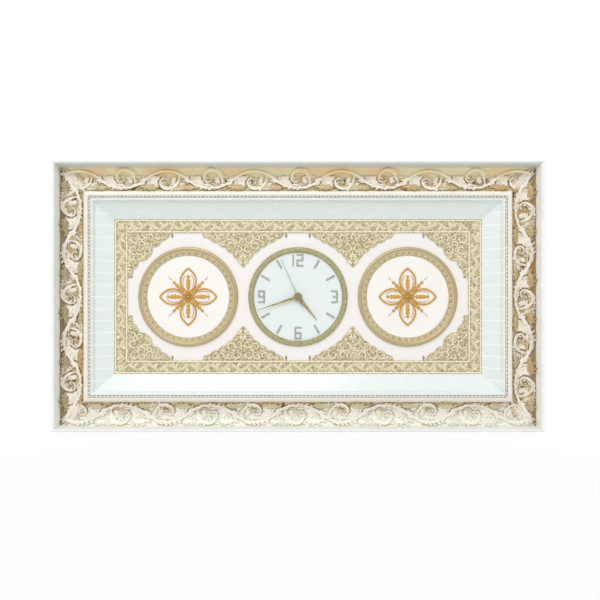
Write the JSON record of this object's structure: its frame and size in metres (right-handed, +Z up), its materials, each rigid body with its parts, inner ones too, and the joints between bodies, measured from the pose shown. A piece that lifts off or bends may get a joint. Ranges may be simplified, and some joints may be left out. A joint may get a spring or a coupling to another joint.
{
  "type": "framed wall clock",
  "caption": "Wide framed wall clock with a carved gilt moulding, sloping slip, two ringed medallions and a central dial driven by a geared battery movement.",
  "frame": {"origin": "midpoint between the two keyhole hangers, on the wall plane", "axes": "+X to the right seen from the front, +Y into the wall, +Z up; the dial faces -Y"},
  "size_m": [1, 0.07, 0.55],
  "materials": {
    "white_gilt_moulding": "white lacquer, carved cove rubbed with gold",
    "bead_trim": "antique gold",
    "mint_lacquer": "glossy mint white lacquer",
    "panel_white": "satin white",
    "pale_gilt": "pale gold with cream relief",
    "ring_gilt": "antique gold",
    "medallion_white": "satin warm white",
    "amber_gilt": "bright amber gold",
    "dial_mint": "satin mint white",
    "numeral_grey": "satin grey",
    "hand_gold": "gold lacquer",
    "second_grey": "grey gold lacquer",
    "zinc_steel": "zinc plated",
    "movement_black": "fine matte black",
    "nut_brass": "turned brass",
    "gear_plastic": "natural acetal",
    "coil_copper": "enamelled copper",
    "board_green": "solder mask",
    "crystal_can": "bright tin",
    "cell_jacket": "plain satin jacket",
    "contact_steel": "nickel plated spring steel"
  },
  "bodies": {
    "clock": {"frame_rail_bottom": "white_gilt_moulding", "frame_rail_right": "white_gilt_moulding", "frame_rail_top": "white_gilt_moulding", "frame_rail_left": "white_gilt_moulding", "bead_strips": "bead_trim", "slip_rail_bottom": "mint_lacquer", "slip_rail_right": "mint_lacquer", "slip_rail_top": "mint_lacquer", "slip_rail_left": "mint_lacquer", "face_panel": "panel_white", "border_bottom": "pale_gilt", "border_right": "pale_gilt", "border_top": "pale_gilt", "border_left": "pale_gilt", "corner_ornament_upper_left": "pale_gilt", "middle_ornament_upper_left": "pale_gilt", "corner_ornament_lower_left": "pale_gilt", "middle_ornament_lower_left": "pale_gilt", "corner_ornament_upper_right": "pale_gilt", "middle_ornament_upper_right": "pale_gilt", "corner_ornament_lower_right": "pale_gilt", "middle_ornament_lower_right": "pale_gilt", "medallion_ring_left": "ring_gilt", "medallion_ring_right": "ring_gilt", "clock_ring": "ring_gilt", "medallion_disc_left": "medallion_white", "medallion_disc_right": "medallion_white", "rosette_left": "amber_gilt", "rosette_right": "amber_gilt", "dial": "dial_mint", "dial_numerals": "numeral_grey", "hour_bars": "numeral_grey", "hanger_plates": "zinc_steel", "hanger_screws": "zinc_steel", "mitre_wedges": "zinc_steel", "slip_points": "zinc_steel", "panel_points": "zinc_steel", "mounting_washer": "zinc_steel", "stator": "zinc_steel", "movement_case": "movement_black", "movement_cover": "movement_black", "mounting_nut": "nut_brass", "coil": "coil_copper", "circuit_board": "board_green", "quartz_crystal": "crystal_can", "contact_positive": "contact_steel", "contact_negative": "contact_steel"},
    "minute_hand": {"minute_hand": "hand_gold", "centre_wheel": "gear_plastic"},
    "hour_hand": {"hour_hand": "hand_gold", "hour_wheel": "gear_plastic"},
    "second_hand": {"second_hand": "second_grey", "second_wheel": "gear_plastic"},
    "third_wheel": {"third_wheel": "gear_plastic"},
    "intermediate_wheel": {"intermediate_wheel": "gear_plastic"},
    "rotor": {"rotor": "gear_plastic"},
    "motion_work_wheel": {"motion_work_wheel": "gear_plastic"},
    "setting_knob": {"setting_knob": "movement_black"},
    "battery": {"battery": "cell_jacket"}
  },
  "joints": [
    {"name": "minute_hand_turn", "type": "hinge", "parent": "clock", "child": "minute_hand", "pos_m": [0, -0.03, -0.2425], "axis": [0, 1, 0], "continuous": true},
    {"name": "hour_hand_turn", "type": "hinge", "parent": "clock", "child": "hour_hand", "pos_m": [0, -0.03, -0.2425], "axis": [0, 1, 0], "continuous": true},
    {"name": "second_hand_turn", "type": "hinge", "parent": "clock", "child": "second_hand", "pos_m": [0, -0.03, -0.2425], "axis": [0, 1, 0], "continuous": true},
    {"name": "third_wheel_turn", "type": "hinge", "parent": "clock", "child": "third_wheel", "pos_m": [-0.00795, -0.016, -0.23791], "axis": [0, 1, 0], "continuous": true},
    {"name": "intermediate_wheel_turn", "type": "hinge", "parent": "clock", "child": "intermediate_wheel", "pos_m": [0.00811, -0.016, -0.23782], "axis": [0, 1, 0], "continuous": true},
    {"name": "rotor_turn", "type": "hinge", "parent": "clock", "child": "rotor", "pos_m": [0.01136, -0.016, -0.23218], "axis": [0, 1, 0], "continuous": true},
    {"name": "motion_work_turn", "type": "hinge", "parent": "clock", "child": "motion_work_wheel", "pos_m": [0, -0.016, -0.2329], "axis": [0, 1, 0], "continuous": true},
    {"name": "setting_knob_turn", "type": "hinge", "parent": "clock", "child": "setting_knob", "pos_m": [-0.0048, -0.016, -0.22459], "axis": [0, 1, 0], "continuous": true},
    {"name": "battery_out", "type": "slide", "parent": "clock", "child": "battery", "axis": [0, 1, 0], "range_m": [0, 0.025]}
  ],
  "couplings": [
    {"joint": "second_hand_turn", "follows": "minute_hand_turn", "ratio": 60},
    {"joint": "third_wheel_turn", "follows": "minute_hand_turn", "ratio": -7.5},
    {"joint": "intermediate_wheel_turn", "follows": "minute_hand_turn", "ratio": -300},
    {"joint": "rotor_turn", "follows": "minute_hand_turn", "ratio": 1800},
    {"joint": "motion_work_turn", "follows": "minute_hand_turn", "ratio": -0.33333},
    {"joint": "hour_hand_turn", "follows": "minute_hand_turn", "ratio": 0.083333},
    {"joint": "setting_knob_turn", "follows": "minute_hand_turn", "ratio": 1}
  ]
}
